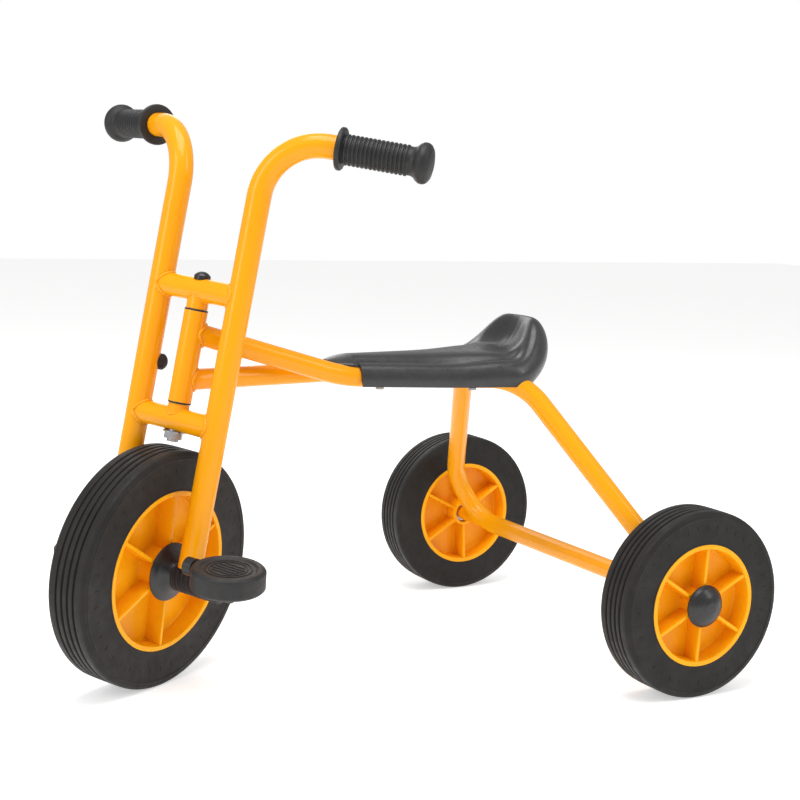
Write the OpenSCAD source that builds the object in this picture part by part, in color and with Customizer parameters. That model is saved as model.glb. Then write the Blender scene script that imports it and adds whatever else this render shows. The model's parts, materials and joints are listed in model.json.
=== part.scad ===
// Children's tricycle: welded tube frame and fork, direct-drive front wheel, two free rear wheels.
// +Z is up, the rider faces -Y and the rider's left is +X. The ground is z = 0, x = 0 is the
// middle of the track, and y = 0 is halfway along the tricycle. All sizes are in millimetres.

/* [Frame tubes] */
// Outside diameter of the frame loop's tube
frame_tube_d = 22; // [18:1:24]
// Wall of the frame loop's tube
frame_tube_wall = 1.5; // [1.2:0.1:2.5]
// Height of the rails' centre under the seat
rail_z = 316; // [290:1:340]
// How much higher the rails are at the seat's nose than at its back
rail_rise = 3; // [0:1:12]
// Half spacing of the rails at the seat's nose
nose_half = 20; // [16:1:30]
// Half spacing of the rails at the back of the seat
tail_half = 59.5; // [45:1.5:75]
// Bend radius at the front of the rails
front_bend_r = 150; // [60:5:180]
// Bend radius behind the seat
rear_bend_r = 60; // [40:5:70]
// Bend radius where the loop turns in along the rear axle
axle_bend_r = 50; // [40:1:56]

/* [Steering] */
// Rearward lean of the steering axis from the vertical, in degrees
head_lean = 10; // [4:1:16]
// Angle that the fork stands turned to the rider's left, in degrees
steer_now = 28.5; // [0:0.5:35]
// Distance between the axles, measured to the steering axis at front wheel centre height
wheelbase = 512; // [440:1:560]
// Outside diameter of the head tube
head_tube_d = 24; // [22:1:28]
// Length of the head tube
head_tube_len = 94; // [80:1:105]
// Height of the head tube's middle above the front axle, along the steering axis
head_tube_mid = 219; // [200:1:235]
// Distance between the two rail ends along the head tube
rail_end_gap = 49.5; // [44:0.5:60]
// Diameter of the kingpin
kingpin_d = 12; // [8:1:14]

/* [Fork and handlebar] */
// Outside diameter of the fork and handlebar tubes
fork_tube_d = 25; // [20:1:28]
// Wall of the fork and handlebar tubes
fork_tube_wall = 2; // [1.5:0.1:3]
// Centre distance between the two fork legs
leg_spacing = 104; // [92:1:125]
// Height of the handlebar's centre above the front axle, along the steering axis
bar_rise = 450.5; // [380:0.5:520]
// Bend radius between leg and handlebar
bar_bend_r = 60; // [40:1:80]
// Rearward sweep of each handlebar end, in degrees
bar_sweep = 21.8; // [0:0.1:35]
// Diameter of the crossbars between the legs
crossbar_d = 24; // [18:1:24]
// How far the front axle stands behind the line of the legs
axle_setback = 3.5; // [0:0.5:8]
// Diameter of the steering stop's rubber
bumper_d = 17; // [12:1:20]
// Height of the steering stop's rubber, from the leg's surface
bumper_h = 9; // [6:0.5:12]

/* [Grips] */
// Distance from the bend's corner to the grip's inner flange
grip_start = 71; // [64:1:90]
// Length of the grip, flange to domed end
grip_len = 96; // [80:1:120]
// Diameter of the inner flange
grip_flange_d = 43; // [36:1:50]
// Diameter over the sleeve's rings
grip_ring_d = 31; // [29:1:34]
// Diameter of the knob end
grip_knob_d = 41; // [36:1:46]
// Number of rings on the sleeve
grip_rings = 15; // [8:1:20]

/* [Front wheel] */
// Outside diameter of the front tyre
front_d = 250; // [220:2:280]
// Diameter of the front wheel's plastic rim
front_rim_d = 168; // [140:2:190]
// Width of the front tyre
front_w = 48; // [38:1:54]
// Diameter of the hub flanges
hub_flange_d = 61; // [46:1:70]
// Diameter of the crank axle
crank_axle_d = 14; // [12:1:16]

/* [Cranks and pedals] */
// Crank length, axle to pedal spindle
crank_len = 72; // [55:1:80]
// Angle of the left crank above straight ahead, in degrees
crank_now = 22; // [0:1:90]
// Distance from the tricycle's middle to the pedal's middle, along the axle
pedal_offset = 147; // [146:1:165]
// Diameter of the round pedal block
pedal_d = 72; // [60:1:72]
// Thickness of the pedal block
pedal_t = 22; // [20:1:28]
// Forward tilt of the pedal from the fork's square, in degrees
pedal_tilt = 12.8; // [0:0.1:20]
// Diameter of the pedal spindle
spindle_d = 10; // [8:1:11]

/* [Rear wheels] */
// Outside diameter of the rear tyres
rear_d = 200; // [180:2:230]
// Diameter of the rear wheels' plastic rim
rear_rim_d = 130; // [110:2:150]
// Width of the rear tyres
rear_w = 47; // [38:1:52]
// Distance between the rear wheels' middles
track = 478; // [460:1:540]
// Diameter of the rear axle pins
axle_pin_d = 12; // [10:1:13]
// Diameter of the domed hub caps
hub_cap_d = 45; // [36:1:50]
// Height of the hub cap's dome
hub_cap_h = 13; // [8:1:16]

/* [Wheels and tyres] */
// Ribs on each side of a wheel
wheel_ribs = 6; // [5:1:8]
// Thickness of a wheel's ribs
wheel_rib_t = 3.5; // [2:0.5:5]
// Radial thickness of a wheel's rim
rim_t = 5.5; // [4:0.5:8]
// Thickness of the web between the two sides of a wheel
web_t = 6; // [4:0.5:10]
// Width of a tread groove
groove_w = 2.4; // [1.5:0.1:3]
// Depth of a tread groove
groove_depth = 2; // [1:0.1:3]
// Number of tread grooves
grooves = 4; // [2:1:6]

/* [Seat] */
// Wall of the moulded seat
seat_wall = 3.6; // [2.5:0.1:5]
// How far the nose stands in front of the side skirts
seat_nose = 27; // [15:1:35]
// Length of the seat from the front of the skirts to the centre of its round back
seat_run = 168; // [150:1:172]
// Depth of the seat's round back behind that centre
seat_back_r = 68; // [60:1:80]
// Height of the back's rim above the rails' centre
seat_back_h = 65; // [40:1:80]
// Height of the pan's middle above the rails' centre
seat_pan_h = 26; // [22:1:32]

/* [Fits] */
// Radial clearance of a shaft that turns in a bush
run_fit = 0.05; // [0.03:0.01:0.08]
// End gap between pieces that turn past each other
end_gap = 0.4; // [0.3:0.1:1]
// Gap between the seat and the rails under it
seat_gap = 0.8; // [0.6:0.1:1.5]

/* [Hidden] */
$fn = 96;
eps = 0.01;

STEEL = "#f2960f";
PLASTIC = "#ff9208";
BLACK = "#242424";
ZINC = "#c9ccce";
NYLON = "#1b1b1b";

// Places along the tricycle
front_r = front_d / 2;
rear_r = rear_d / 2;
shoulder = 5;
swing = asin(sin(steer_now) * cos(head_lean));
front_reach = front_r * cos(swing) + front_w / 2 * sin(swing) - axle_setback * cos(steer_now);
axle_y = (wheelbase + front_reach - rear_r) / 2;
steer_y = axle_y - wheelbase;
// The turned wheel leans and stands on the edge of its tread, which sets the steering frame's height
lean_now = asin(sin(steer_now) * sin(head_lean));
tread_half = front_w / 2 - 1.4 * shoulder;
steer_z = front_r * cos(lean_now) + tread_half * sin(lean_now)
    + axle_setback * cos(steer_now) * sin(head_lean);
seat_front_y = rail_start_y() + 20;

// Head tube and bushes, along the steering axis
bush_flange_t = 1.6;
bush_len = 16;
head_bore = head_tube_d - 7;
head_low = head_tube_mid - head_tube_len / 2;
head_high = head_tube_mid + head_tube_len / 2;
boss_low = head_low - bush_flange_t - end_gap;
boss_high = head_high + bush_flange_t + end_gap;
boss_len = 7.5;
boss_d = 22;
upper_bar = boss_high + boss_len + crossbar_d / 2;
lower_bar = boss_low - (boss_len - 3) - crossbar_d / 2;

// Rails: left end high on the head tube, right end low on it
function rail_start_y() = steer_y + 206.8;
nose_pt = [nose_half, rail_start_y(), rail_z + rail_rise];
tail_pt = [tail_half, rail_start_y() + 198.8, rail_z];
axle_corner = [track / 2 + 7.4, axle_y, rear_r];
function on_head(t) = [0, steer_y + t * sin(head_lean), steer_z + t * cos(head_lean)];
function mirrored(p, side) = [side * p[0], p[1], p[2]];
function half_loop(side) = [
    on_head(head_tube_mid + side * rail_end_gap / 2), mirrored(nose_pt, side), mirrored(tail_pt, side),
    mirrored(axle_corner, side), [0, axle_y, rear_r]
];
loop_radii = [0, front_bend_r, rear_bend_r, axle_bend_r, 0];

// Front axle stack, measured out from the tricycle's middle
face_f = front_w / 2;
flange_len = 13;
sleeve_start = face_f + flange_len + end_gap;
arm_t = 10;
arm_out = pedal_offset - pedal_d / 2 - 4;
arm_in = arm_out - arm_t;
sleeve_end = arm_in - end_gap - 1.5;
housing_d = 22;
housing_bore = 18;
sleeve_d = 29;
sleeve_rings = 9;
leg_x = leg_spacing / 2;

// Rear hub stack, measured out from the wheel's middle
hub_d = 31;
hub_bore = 18;
inner_recess = 7;
outer_recess = 14;
recess_d = 24;
stub_d = 17;
washer_t = 2;
retainer_t = 3;
rear_face = rear_w / 2;
stub_end = -rear_face + inner_recess - washer_t;
pin_end = rear_face - 4;
retainer_at = rear_face - outer_recess + end_gap;

// ---------------------------------------------------------------- helpers

function unit(v) = v / norm(v);
// A route is a list of corners. At a corner, u is the way in and v is the way out.
function way(p, i) = unit(p[i + 1] - p[i]);
function corner_angle(p, i) = acos(way(p, i - 1) * way(p, i));
function setback(p, r, i) = (i == 0 || i == len(p) - 1) ? 0 : r[i] * tan(corner_angle(p, i) / 2);
function in_at_start(u, v) = unit(v - (u * v) * u);
function in_at_end(u, v) = unit((u * v) * v - u);
// How far a corner's plane is turned from the plane of the corner before it
function roll_between(a, b, axis) = atan2(cross(a, b) * axis, a * b);
function corner_roll(p, i) =
    i == 1 ? 0 : roll_between(
        in_at_end(way(p, i - 2), way(p, i - 1)), in_at_start(way(p, i - 1), way(p, i)), way(p, i - 1)
    );
function across(v) = abs(v[2]) < 0.9 ? unit(cross([0, 0, 1], v)) : unit(cross([1, 0, 0], v));

// Turns the local axes to the three given directions and moves the origin to a point
module placed(x, y, z, at) {
    multmatrix([
        [x[0], y[0], z[0], at[0]],
        [x[1], y[1], z[1], at[1]],
        [x[2], y[2], z[2], at[2]],
        [0, 0, 0, 1]
    ]) children();
}

// A straight stretch of bar from one point to another
module rod(from, to, d) {
    z = unit(to - from);
    x = across(z);
    placed(x, cross(z, x), z, from)
        cylinder(d = d, h = norm(to - from));
}

lap = 0.6;
lap_rise = 0.02;
// The bar that follows a route with round corners, one run and one bend after the other. Each bend
// starts where its run ends, along +Z, and curves towards +X.
module bent_rod(p, r, d) {
    first = in_at_start(way(p, 0), way(p, 1));
    placed(first, cross(way(p, 0), first), way(p, 0), p[0])
        bent_from(p, r, d, 0);
}
module bent_from(p, r, d, i) {
    run = norm(p[i + 1] - p[i]) - setback(p, r, i) - setback(p, r, i + 1);
    cylinder(d = d, h = run);
    if (i > 0)
        translate([0, 0, -lap / 2])
            cylinder(d = d + 2 * lap_rise, h = lap);
    if (i < len(p) - 2) {
        turn = corner_angle(p, i + 1);
        translate([0, 0, run - lap / 2])
            cylinder(d = d + 2 * lap_rise, h = lap);
        translate([0, 0, run])
            rotate([0, 0, corner_roll(p, i + 1)]) {
                placed([-1, 0, 0], [0, 0, 1], [0, 1, 0], [r[i + 1], 0, 0])
                    rotate_extrude(angle = turn)
                        translate([r[i + 1], 0])
                            circle(d = d);
                translate([r[i + 1], 0, 0])
                    rotate([0, turn, 0])
                        translate([-r[i + 1], 0, 0])
                            bent_from(p, r, d, i + 1);
            }
    }
}

module bent_tube(p, r, d, wall) {
    difference() {
        bent_rod(p, r, d);
        bent_rod(p, r, d - 2 * wall);
    }
}

// Fork frame: x to the rider's left along the axle, y rearward, z up along the steering axis
module steered() {
    translate([0, steer_y, steer_z])
        rotate([-head_lean, 0, 0])
            rotate([0, 0, steer_now])
                children();
}

// Front wheel frame: the same directions, with its origin at the wheel's centre
module front_axle() {
    steered()
        translate([0, axle_setback, 0])
            children();
}

// Stands a piece that is drawn along +Z out along the axle, to the left (1) or the right (-1)
module outward(side) {
    rotate([0, 90 * side, 0])
        children();
}

// A tube, drawn along +Z
module sleeve(d, bore, h) {
    difference() {
        cylinder(d = d, h = h);
        translate([0, 0, -1])
            cylinder(d = bore, h = h + 2);
    }
}

// A ring-shaped solid from its half section of [radius, height] points
module turned(section) {
    rotate_extrude()
        polygon(section);
}

// ---------------------------------------------------------------- frame

// Where the axle line comes out of the loop's bend, measured from the middle of the track
bend_centre_x = axle_corner[0] - setback(half_loop(1), loop_radii, 3);
stub_start = bend_centre_x + sqrt(pow(axle_bend_r + frame_tube_d / 2, 2) - pow(axle_bend_r, 2)) - 8;

// Each half of the loop runs from the head tube back over its rail, down beside its wheel and in along
// the axle line to the weld in the middle. The left half starts high on the head tube, the right low.
module frame_tube(side) {
    color(STEEL)
        difference() {
            bent_tube(half_loop(side), loop_radii, frame_tube_d, frame_tube_wall);
            rod(on_head(head_low - 1), on_head(head_high + 1), head_tube_d);
            for (k = screw_at)
                translate(on_rail(k, side) - [0, 0, frame_tube_d])
                    cylinder(d = screw_d + 0.6, h = 2 * frame_tube_d);
        }
}
module frame_tube_left() { frame_tube(1); }
module frame_tube_right() { frame_tube(-1); }

module head_tube() {
    color(STEEL)
        rotated_head(head_low)
            sleeve(head_tube_d, head_bore, head_tube_len);
}

// The frame's own side of the steering axis, which doesn't turn
module rotated_head(t) {
    translate([0, steer_y, steer_z])
        rotate([-head_lean, 0, 0])
            translate([0, 0, t])
                children();
}

module head_bush() {
    turned([
        [kingpin_d / 2 + run_fit, -bush_flange_t], [head_tube_d / 2, -bush_flange_t], [head_tube_d / 2, 0],
        [head_bore / 2, 0], [head_bore / 2, bush_len], [kingpin_d / 2 + run_fit, bush_len]
    ]);
}

module head_bush_lower() {
    color(NYLON)
        rotated_head(head_low)
            head_bush();
}

module head_bush_upper() {
    color(NYLON)
        rotated_head(head_high)
            mirror([0, 0, 1])
                head_bush();
}

// Everything on a rear axle is drawn along +Z from the wheel's middle, outward
module rear_hub(side) {
    translate([side * track / 2, axle_y, rear_r])
        outward(side)
            children();
}

module rear_axle(side) {
    color(STEEL)
        difference() {
            rear_hub(side)
                union() {
                    translate([0, 0, -track / 2 + stub_start])
                        cylinder(d = stub_d, h = track / 2 - stub_start + stub_end);
                    translate([0, 0, stub_end - 1])
                        cylinder(d = axle_pin_d, h = pin_end - stub_end + 1);
                }
            bent_rod(half_loop(side), loop_radii, frame_tube_d);
        }
}
module rear_axle_left() { rear_axle(1); }
module rear_axle_right() { rear_axle(-1); }

module axle_washers() {
    color(ZINC)
        for (side = [1, -1])
            rear_hub(side)
                translate([0, 0, stub_end])
                    sleeve(stub_d + 4, axle_pin_d, washer_t - end_gap);
}

module axle_retainers() {
    color(ZINC)
        for (side = [1, -1])
            rear_hub(side)
                translate([0, 0, retainer_at])
                    sleeve(axle_pin_d + 9, axle_pin_d, retainer_t);
}

// ---------------------------------------------------------------- seat

screw_d = 5;
screw_at = [0.2, 0.72];
function on_rail(k, side) =
    let (p = nose_pt + (tail_pt - nose_pt) * k)
    [side * p[0], p[1], p[2]];
function screw_points() = [for (k = screw_at, side = [1, -1]) on_rail(k, side)];

roll_r = frame_tube_d / 2 + seat_gap + seat_wall;
seat_back_y = seat_front_y + seat_run;
nose_steps = 4;
corner_steps = 5;
side_steps = 12;
arc_steps = 12;
skirt = -8.5;

function rail_x(y) = nose_half + (tail_half - nose_half) * (y - nose_pt[1]) / (tail_pt[1] - nose_pt[1]);
function rail_h(y) = rail_z + rail_rise * (1 - (y - nose_pt[1]) / (tail_pt[1] - nose_pt[1]));
function smooth(t) = let (c = min(1, max(0, t))) c * c * (3 - 2 * c);
function mix(a, b, t) = a + (b - a) * t;
// The skirt is cut high where the tube bends down and out from under the seat
function skirt_low(y, from, to) = mix(skirt, 8.5, smooth((y - from) / (to - from)));
// There the seat also widens a little, with the tube
function edge_x(y) = rail_x(y) + roll_r + 2.8 * smooth((y - seat_back_y + 70) / 65);

// A station of the seat's edge: [edge point, point on the middle line, how far the rim has risen,
// bottom of the skirt, height of the rail, height of the pan, narrowing of the nose]
front_half = edge_x(seat_front_y);
function nose_station(t) =
    let (
        y = seat_front_y - 4 - (seat_nose - 4) * (1 - t),
        x = front_half * (0.5 + 0.5 * sin(90 * t)),
        lift = 0.6 + 4.2 * pow(1 - t, 2)
    )
    [
        [x, y], [0, y], 0, frame_tube_d / 2 + 1.8, rail_h(y) + lift,
        mix(roll_r + 1, seat_pan_h - lift, 1 - pow(1 - t, 2)), x / front_half
    ];
// The front corner of each skirt, round in side view
function corner_station(t) =
    let (y = seat_front_y - 3 * (1 - t))
    [[edge_x(y), y], [0, y], 0, roll_r * sin(mix(55, asin(skirt / roll_r), t)), rail_h(y), seat_pan_h, 1];
function side_station(t) =
    let (y = mix(seat_front_y, seat_back_y, t))
    [
        [edge_x(y), y], [0, y], smooth(0.34 * (t - 0.35) / 0.65),
        skirt_low(y, seat_back_y - 34, seat_back_y - 10), rail_h(y), seat_pan_h, 1
    ];
function arc_station(a) =
    [
        [edge_x(seat_back_y) * cos(a), seat_back_y + seat_back_r * sin(a)],
        [0, seat_back_y + 22 * a / 90],
        smooth(0.34 + 0.66 * a / 60), skirt_low(-a, -26, -14), rail_z, seat_pan_h, 1
    ];
stations = concat(
    [for (i = [0 : nose_steps]) nose_station(i / nose_steps)],
    [for (i = [0 : corner_steps - 1]) corner_station(i / corner_steps)],
    [for (i = [0 : side_steps]) side_station(i / side_steps)],
    [for (i = [1 : arc_steps]) arc_station(90 * i / arc_steps)]
);

// Half section of the seat at a station, from the skirt's bottom to the middle line, as pairs of
// [distance in from the edge, height above the rails]. The rim grows out of the roll over the rail.
roll_steps = 6;
function section(s, inset) =
    let (
        up = s[2],
        full = norm(s[0] - s[1]),
        roll = roll_r - inset,
        rim = seat_back_h - inset,
        pan = s[5] - inset,
        from = asin(s[3] / roll_r)
    )
    [
        for (k = [0 : roll_steps])
            let (a = mix(from, 90, k / roll_steps), b = mix(-48, 90, k / roll_steps))
            [
                s[6] * mix(roll_r - roll * cos(a), 0.9 * (roll_r - roll * cos(b)), up),
                mix(roll * sin(a), mix(skirt, rim, 0.5 + 0.5 * sin(b)), up)
            ],
        [s[6] * (roll_r + 5), mix(roll - 0.8, rim - 4, up)],
        [s[6] * mix(roll_r + 10, roll_r + 15, up), mix(roll - 0.5, rim * 0.72, up)],
        [s[6] * mix(roll_r + 15, roll_r + 27, up), mix(mix(roll, pan, 0.5), pan + 10, up)],
        [full * mix(0.86, 0.9, up), mix(mix(roll, pan, 0.88), pan + 3, up)],
        [full, pan]
    ];
function place(s, p) =
    let (d = unit(s[1] - s[0]))
    [s[0][0] + d[0] * p[0], s[0][1] + d[1] * p[0], s[4] + p[1]];
function ring(s) =
    let (outer = section(s, 0), inner = section(s, seat_wall), n = len(inner))
    concat(
        [for (p = outer) place(s, p)],
        [for (i = [n - 1 : -1 : 0]) place(s, inner[i])]
    );

// ---------------------------------------------------------------- seat and its screws

// Both halves share the points on the middle line and the whole last station, so the skin is closed
module seat() {
    rings = [for (s = stations) ring(s)];
    n = len(rings[0]);
    last = len(rings) - 1;
    middle = [n / 2 - 1, n / 2];
    function id(half, i, k) =
        (half == 0 || i == last || k == middle[0] || k == middle[1]) ? i * n + k : (last + 1 + i) * n + k;
    color(BLACK)
        polyhedron(
            points = concat(
                [for (r = rings) each r],
                [for (i = [0 : last - 1]) each [for (p = rings[i]) mirrored(p, -1)]]
            ),
            faces = concat(
                [[for (k = [0 : n - 1]) id(0, 0, k)], [for (k = [n - 1 : -1 : 0]) id(1, 0, k)]],
                [for (half = [0, 1], i = [0 : last - 1], k = [0 : n - 1])
                    if (k != middle[0])
                        each let (
                            a = id(half, i, k), b = id(half, i + 1, k),
                            c = id(half, i + 1, (k + 1) % n), d = id(half, i, (k + 1) % n)
                        )
                            k == middle[1]
                                ? (half == 0 ? [[a, b, d], [b, c, d]] : [[a, d, b], [b, d, c]])
                                : (half == 0 ? [[a, b, c], [a, c, d]] : [[a, c, b], [a, d, c]])]
            ),
            convexity = 8
        );
}

module seat_screws() {
    color(ZINC)
        for (p = screw_points())
            translate(p) {
                translate([0, 0, -frame_tube_d / 2 - 2.2])
                    cylinder(d = 2 * screw_d - 1, h = 2.2);
                translate([0, 0, -frame_tube_d / 2 - 1])
                    cylinder(d = screw_d, h = frame_tube_d / 2 + roll_r - 1);
            }
}

// ---------------------------------------------------------------- fork and handlebar

// Leg and handlebar in one: up the leg, round the bend and out to the grip
function bar_dir(side) = [side * cos(bar_sweep), sin(bar_sweep), 0];
function bar_corner(side) = [side * leg_x, 0, bar_rise];
grip_cover = grip_len - 16;

module fork_tube(side) {
    color(STEEL)
        steered()
            difference() {
                bent_tube(
                    [
                        [side * leg_x, 0, 0],
                        bar_corner(side),
                        bar_corner(side) + bar_dir(side) * (grip_start + grip_cover)
                    ],
                    [0, bar_bend_r, 0], fork_tube_d, fork_tube_wall
                );
                translate([0, axle_setback, 0])
                    outward(side)
                        cylinder(d = housing_d, h = leg_x * 2);
            }
}
module fork_tube_left() { fork_tube(1); }
module fork_tube_right() { fork_tube(-1); }

module crossbar(t) {
    color(STEEL)
        steered()
            difference() {
                translate([-leg_x, 0, t])
                    rotate([0, 90, 0])
                        sleeve(crossbar_d, crossbar_d - 2 * fork_tube_wall, leg_spacing);
                for (side = [1, -1])
                    translate([side * leg_x, 0, t - fork_tube_d])
                        cylinder(d = fork_tube_d, h = 2 * fork_tube_d);
                translate([0, 0, t - crossbar_d])
                    cylinder(d = kingpin_d + 2 * run_fit, h = 2 * crossbar_d);
            }
}
module upper_crossbar() { crossbar(upper_bar); }
module lower_crossbar() { crossbar(lower_bar); }

// Short welded collars that carry the crossbars on the steering axis
module boss(from, to, bar) {
    color(STEEL)
        steered()
            difference() {
                translate([0, 0, from])
                    sleeve(boss_d, kingpin_d + 2 * run_fit, to - from);
                translate([-leg_x, 0, bar])
                    rotate([0, 90, 0])
                        cylinder(d = crossbar_d, h = leg_spacing);
            }
}
module upper_boss() { boss(boss_high, upper_bar, upper_bar); }
module lower_boss() { boss(lower_bar, boss_low, lower_bar); }

pin_top = upper_bar + crossbar_d / 2 + 1;
pin_low = lower_bar - crossbar_d / 2 - 11;
nut_t = 8;
module kingpin() {
    color(ZINC)
        steered() {
            translate([0, 0, pin_low])
                cylinder(d = kingpin_d, h = pin_top - pin_low);
            translate([0, 0, pin_top - eps])
                cylinder(d = kingpin_d + 2, h = 3);
        }
}

module kingpin_nut() {
    color(ZINC)
        steered()
            translate([0, 0, lower_bar - crossbar_d / 2 - nut_t])
                difference() {
                    union() {
                        cylinder(d = kingpin_d * 1.7, h = nut_t - 1.5, $fn = 6);
                        translate([0, 0, nut_t - 1.5])
                            cylinder(d = kingpin_d * 1.9, h = 1.5);
                    }
                    translate([0, 0, -1])
                        cylinder(d = kingpin_d, h = nut_t + 2);
                }
}

cap_d = 17;
cap_h = 7;
module kingpin_cap() {
    color(BLACK)
        steered()
            translate([0, 0, upper_bar + crossbar_d / 2 - 1.6])
                difference() {
                    union() {
                        cylinder(d = cap_d, h = 4);
                        translate([0, 0, 4])
                            dome(cap_d, cap_h - 2.4);
                    }
                    translate([0, 0, -1])
                        cylinder(d = kingpin_d + 2, h = 6.6);
                    translate([-cap_d, 0, 1.6 - crossbar_d / 2])
                        rotate([0, 90, 0])
                            cylinder(d = crossbar_d, h = 2 * cap_d);
                }
}

// A round cap of a sphere, on a flat base
module dome(d, h) {
    r = (d * d / 4 + h * h) / (2 * h);
    intersection() {
        translate([0, 0, h - r])
            sphere(r = r);
        cylinder(d = d, h = h);
    }
}

// Rubber stops on the legs, where each leg meets its own rail at full lock
bumper_turn = 50;
bumper_at = [head_tube_mid + 17, head_tube_mid - 12.5];
module stop_bumper(side, t) {
    color(BLACK)
        steered()
            translate([side * leg_x, 0, t])
                rotate([0, 0, side > 0 ? 180 - bumper_turn : bumper_turn])
                    rotate([0, 90, 0])
                        difference() {
                            union() {
                                cylinder(d = bumper_d, h = fork_tube_d / 2 + bumper_h - 5);
                                translate([0, 0, fork_tube_d / 2 + bumper_h - 5])
                                    dome(bumper_d, 5);
                            }
                            translate([-fork_tube_d, 0, 0])
                                rotate([0, 90, 0])
                                    cylinder(d = fork_tube_d, h = 2 * fork_tube_d);
                        }
}
module stop_bumper_left() { stop_bumper(1, bumper_at[0]); }
module stop_bumper_right() { stop_bumper(-1, bumper_at[1]); }

// Grip: flange, ringed sleeve, plain neck and knob, drawn along +Z from the flange's inner face
flange_t = 5;
knob_len = 18;
ring_span = grip_len - knob_len - flange_t - 8;
ring_pitch = ring_span / grip_rings;
ring_deep = 1.3;
module grip_body() {
    turned(concat(
        [
            [fork_tube_d / 2, 0], [grip_flange_d / 2 - 1.5, 0], [grip_flange_d / 2, 1.5],
            [grip_flange_d / 2, flange_t - 1.5], [grip_flange_d / 2 - 1.5, flange_t]
        ],
        [for (i = [0 : grip_rings - 1])
            each let (z = flange_t + i * ring_pitch, low = grip_ring_d / 2 - ring_deep, high = grip_ring_d / 2)
                [[low, z], [low, z + 0.35 * ring_pitch], [high, z + 0.5 * ring_pitch], [high, z + 0.85 * ring_pitch]]],
        [
            [grip_ring_d / 2 - ring_deep, grip_len - knob_len - 8], [grip_ring_d / 2 - ring_deep, grip_len - knob_len - 2],
            [grip_knob_d / 2 - 2.5, grip_len - knob_len + 6], [grip_knob_d / 2, grip_len - knob_len + 9],
            [grip_knob_d / 2, grip_len - 8], [grip_knob_d / 2 - 1.5, grip_len - 5.5],
            [grip_knob_d / 2 - 6, grip_len - 2.2], [grip_knob_d / 4, grip_len - 0.6], [0, grip_len],
            [0, grip_cover], [fork_tube_d / 2, grip_cover]
        ]
    ));
}
module grip(side) {
    color(BLACK)
        steered() {
            z = bar_dir(side);
            x = [0, 0, 1];
            placed(x, cross(z, x), z, bar_corner(side) + z * grip_start)
                grip_body();
        }
}
module grip_left() { grip(1); }
module grip_right() { grip(-1); }

// ---------------------------------------------------------------- front axle

module axle_housing(side) {
    color(STEEL)
        front_axle()
            outward(side)
                translate([0, 0, sleeve_start + 1.5])
                    sleeve(housing_d, housing_bore, sleeve_end - sleeve_start - 3);
}
module axle_housing_left() { axle_housing(1); }
module axle_housing_right() { axle_housing(-1); }

// Nylon bush through the housing, with a collar at each end
module axle_bush(side) {
    r = crank_axle_d / 2 + run_fit;
    color(NYLON)
        front_axle()
            outward(side)
                turned([
                    [r, sleeve_start], [housing_d / 2, sleeve_start], [housing_d / 2, sleeve_start + 1.5],
                    [housing_bore / 2, sleeve_start + 1.5], [housing_bore / 2, sleeve_end - 1.5],
                    [housing_d / 2, sleeve_end - 1.5], [housing_d / 2, sleeve_end], [r, sleeve_end]
                ]);
}
module axle_bush_left() { axle_bush(1); }
module axle_bush_right() { axle_bush(-1); }

// Ribbed rubber sleeve over the housing, with a hole where the leg comes down to it
module ribbed_sleeve(side) {
    pitch = (sleeve_end - sleeve_start) / sleeve_rings;
    low = sleeve_d / 2 - 2;
    high = sleeve_d / 2;
    color(BLACK)
        difference() {
            front_axle()
                outward(side)
                    turned(concat(
                        [[housing_d / 2, sleeve_start]],
                        [for (i = [0 : sleeve_rings - 1])
                            each let (z = sleeve_start + i * pitch)
                                [[high, z], [high, z + 0.55 * pitch], [low, z + 0.62 * pitch], [low, z + 0.94 * pitch]]],
                        [[low, sleeve_end], [housing_d / 2, sleeve_end]]
                    ));
            steered()
                translate([side * leg_x, 0, 0])
                    cylinder(d = fork_tube_d, h = 3 * fork_tube_d);
        }
}
module ribbed_sleeve_left() { ribbed_sleeve(1); }
module ribbed_sleeve_right() { ribbed_sleeve(-1); }

// ---------------------------------------------------------------- wheels

// A solid tyre: flat sidewalls, round shoulders, grooved tread and a tongue in the rim
tongue_w = 16;
tongue_h = 3;
tyre_drop = 3;
module tyre(d, rim_d, w) {
    r = d / 2;
    land = (w - 2 * shoulder) / (grooves + 1);
    half = w / 2;
    turned(concat(
        [
            [rim_d / 2, -half], [r - tyre_drop, -half], [r - tyre_drop * 0.45, -half + shoulder * 0.35],
            [r - 0.3, -half + shoulder * 0.8]
        ],
        [for (i = [1 : grooves])
            each let (z = -half + shoulder + i * land)
                [
                    [r, z - groove_w / 2 - 0.5], [r - groove_depth, z - groove_w / 2],
                    [r - groove_depth, z + groove_w / 2], [r, z + groove_w / 2 + 0.5]
                ]],
        [
            [r - 0.3, half - shoulder * 0.8], [r - tyre_drop * 0.45, half - shoulder * 0.35],
            [r - tyre_drop, half], [rim_d / 2, half], [rim_d / 2, tongue_w / 2],
            [rim_d / 2 - tongue_h, tongue_w / 2], [rim_d / 2 - tongue_h, -tongue_w / 2], [rim_d / 2, -tongue_w / 2]
        ]
    ));
}

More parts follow.
